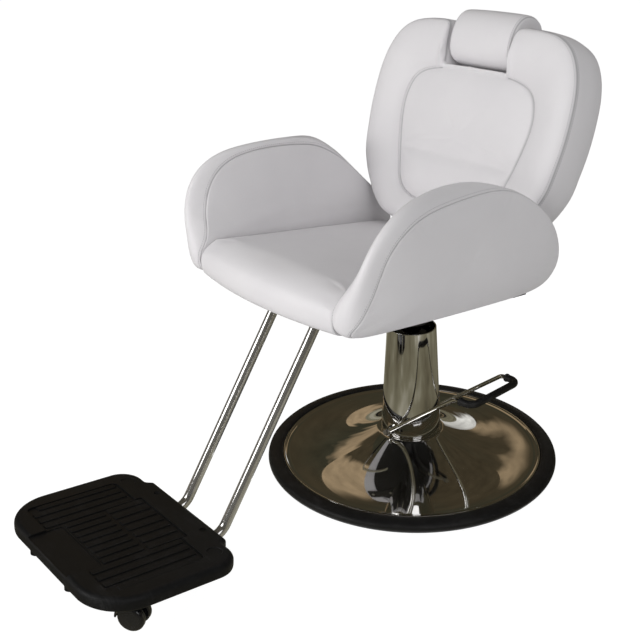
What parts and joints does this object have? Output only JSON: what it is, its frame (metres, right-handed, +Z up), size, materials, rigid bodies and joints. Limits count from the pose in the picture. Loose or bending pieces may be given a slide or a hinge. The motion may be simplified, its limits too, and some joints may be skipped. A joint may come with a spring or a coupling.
{
  "type": "reclining barber chair",
  "caption": "Reclining barber chair with white upholstery, sliding headrest, footrest on bent tubes and a round chrome hydraulic base.",
  "frame": {"origin": "on the floor at the axis of the column, at the middle of the round base", "axes": "+Z up along the column, the chair faces -Y, +X towards the sitter's left"},
  "size_m": [0.6939, 1.294, 1.0212],
  "materials": {
    "white_leather": "fine grain, satin",
    "chrome": "polished",
    "black_rubber": "matt",
    "black_plastic": "fine texture",
    "gloss_black": "gloss",
    "black_paint": "semi-gloss",
    "zinc_steel": "zinc plated",
    "black_board": "black stained plywood"
  },
  "bodies": {
    "base": {"rubber_ring": "black_rubber", "base_shell": "chrome", "base_plate": "black_paint", "pump_cylinder": "black_paint", "pump_bolts": "zinc_steel", "column_cover": "chrome"},
    "lever": {"lever_shaft": "zinc_steel", "lever_rod": "chrome", "lever_bolts": "zinc_steel", "pedal_sleeve": "black_rubber"},
    "piston": {"piston": "chrome"},
    "seat": {"pump_head": "black_paint", "seat_rail_left": "black_paint", "seat_rail_right": "black_paint", "seat_cross_front": "black_paint", "seat_cross_rear": "black_paint", "footrest_socket_left": "black_paint", "footrest_socket_right": "black_paint", "hinge_bracket_left": "black_paint", "hinge_bracket_right": "black_paint", "hinge_pins": "zinc_steel", "seat_board": "black_board", "seat_cushion": "white_leather", "arm_left": "white_leather", "arm_right": "white_leather", "seat_bolts": "zinc_steel", "spring_anchor": "black_paint", "spring_anchor_pin": "zinc_steel", "gas_spring_cylinder": "black_paint", "release_boss": "black_paint"},
    "gas_rod": {"gas_spring_rod": "zinc_steel"},
    "release": {"release_lever": "chrome", "release_knob": "black_plastic"},
    "back": {"backrest_cushion": "white_leather", "back_board": "black_board", "back_upright_left": "black_paint", "back_upright_right": "black_paint", "back_crossbar": "black_paint", "crank_pin": "zinc_steel", "back_screws": "zinc_steel", "headrest_guide": "black_paint"},
    "headrest": {"headrest_pad": "white_leather", "headrest_bar": "zinc_steel"},
    "footrest": {"footrest_tube_left": "chrome", "footrest_tube_right": "chrome", "plate_brackets": "black_paint", "footplate": "black_plastic", "plate_screws": "zinc_steel"},
    "caster_left_body": {"caster_left": "gloss_black", "caster_axle_left": "zinc_steel"},
    "caster_right_body": {"caster_right": "gloss_black", "caster_axle_right": "zinc_steel"},
    "wheel_left_front": {"wheel_left_front": "gloss_black"},
    "wheel_left_back": {"wheel_left_back": "gloss_black"},
    "wheel_right_front": {"wheel_right_front": "gloss_black"},
    "wheel_right_back": {"wheel_right_back": "gloss_black"}
  },
  "joints": [
    {"name": "pump_lever_press", "type": "hinge", "parent": "base", "child": "lever", "pos_m": [0, 0, 0.092], "axis": [-0.0785, 0.9969, 0], "range_deg": [0, 25], "stiffness_Nm_per_rad": 12, "springref_deg": -14.32},
    {"name": "seat_lift", "type": "slide", "parent": "base", "child": "piston", "axis": [0, 0, 1], "range_m": [0, 0.15]},
    {"name": "seat_swivel", "type": "hinge", "parent": "piston", "child": "seat", "pos_m": [0, 0, 0.36], "axis": [0, 0, 1], "continuous": true},
    {"name": "recline", "type": "hinge", "parent": "seat", "child": "back", "pos_m": [0, 0.15112, 0.4551], "axis": [-1, 0, 0], "range_deg": [0, 40]},
    {"name": "gas_spring_stroke", "type": "slide", "parent": "seat", "child": "gas_rod", "axis": [0, -1, 0], "range_m": [0, 0.0343]},
    {"name": "release_pull", "type": "hinge", "parent": "seat", "child": "release", "pos_m": [0, -0.0715, 0.46869], "axis": [-1, 0, 0], "range_deg": [0, 15], "stiffness_Nm_per_rad": 1, "springref_deg": -5.73},
    {"name": "headrest_height", "type": "slide", "parent": "back", "child": "headrest", "axis": [0, 0.3156, 0.9489], "range_m": [0, 0.1]},
    {"name": "footrest_slide", "type": "slide", "parent": "seat", "child": "footrest", "axis": [0, -0.9978, 0.0663], "range_m": [0, 0.1]},
    {"name": "caster_left_swivel", "type": "hinge", "parent": "footrest", "child": "caster_left_body", "pos_m": [0.134, -0.856, 0.0485], "axis": [0, 0, 1], "continuous": true},
    {"name": "wheel_left_front_roll", "type": "hinge", "parent": "caster_left_body", "child": "wheel_left_front", "pos_m": [0.14727, -0.84705, 0.0485], "axis": [-0.5592, 0.829, 0], "continuous": true},
    {"name": "wheel_left_back_roll", "type": "hinge", "parent": "caster_left_body", "child": "wheel_left_back", "pos_m": [0.14727, -0.84705, 0.0485], "axis": [-0.5592, 0.829, 0], "continuous": true},
    {"name": "caster_right_swivel", "type": "hinge", "parent": "footrest", "child": "caster_right_body", "pos_m": [-0.134, -0.856, 0.0485], "axis": [0, 0, 1], "continuous": true},
    {"name": "wheel_right_front_roll", "type": "hinge", "parent": "caster_right_body", "child": "wheel_right_front", "pos_m": [-0.12073, -0.84705, 0.0485], "axis": [-0.5592, 0.829, 0], "continuous": true},
    {"name": "wheel_right_back_roll", "type": "hinge", "parent": "caster_right_body", "child": "wheel_right_back", "pos_m": [-0.12073, -0.84705, 0.0485], "axis": [-0.5592, 0.829, 0], "continuous": true}
  ],
  "couplings": [
    {"joint": "gas_spring_stroke", "follows": "recline", "m_per_rad": 0.049}
  ]
}
